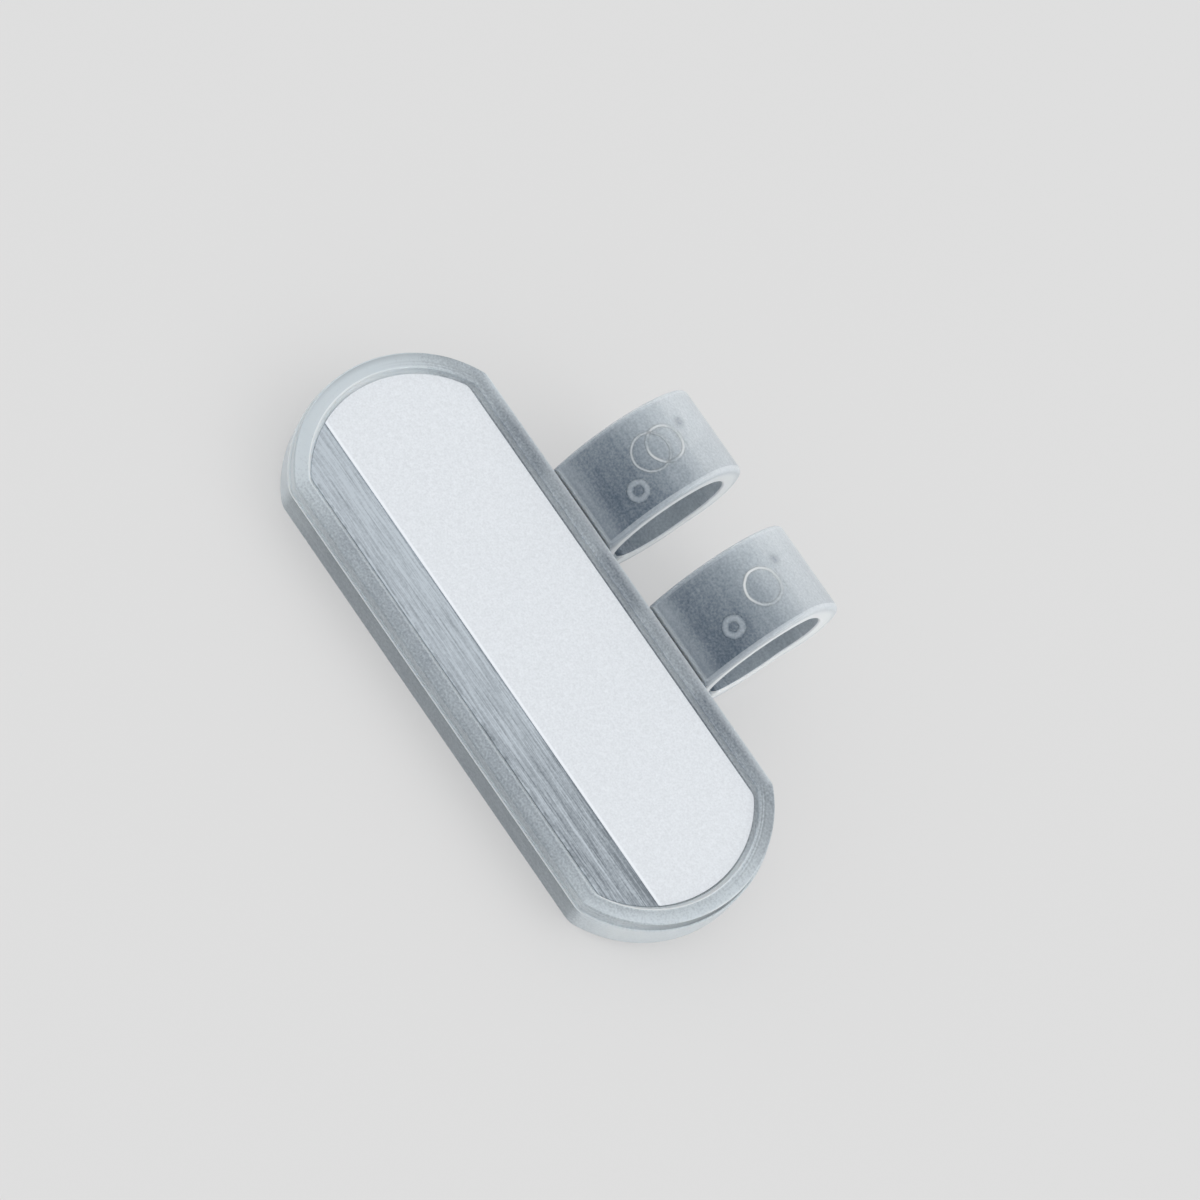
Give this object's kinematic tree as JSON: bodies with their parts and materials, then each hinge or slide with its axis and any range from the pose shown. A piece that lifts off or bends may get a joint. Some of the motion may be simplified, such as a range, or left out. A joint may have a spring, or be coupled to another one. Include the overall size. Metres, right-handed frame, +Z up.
{
  "type": "stethoscope id tag",
  "caption": "Frosted plastic name tag with a recessed silver and white label, and side bands that clip round a tube.",
  "frame": {"origin": "middle of the tag's box, on the surface it lies on", "axes": "+X along the tag from its upper end to its lower end, +Y across it to the bands, +Z up"},
  "size_m": [0.056, 0.0354, 0.0153],
  "materials": {
    "frosted_plastic": "frosted, translucent, softly shiny",
    "brushed_foil": "brushed lengthwise",
    "writing_film": "matt white, faintly mottled"
  },
  "bodies": {
    "root": {"tag_body": "frosted_plastic", "foil_label": "brushed_foil", "write_on_panel": "writing_film", "clip_upper": "frosted_plastic", "clip_lower": "frosted_plastic"}
  },
  "joints": []
}
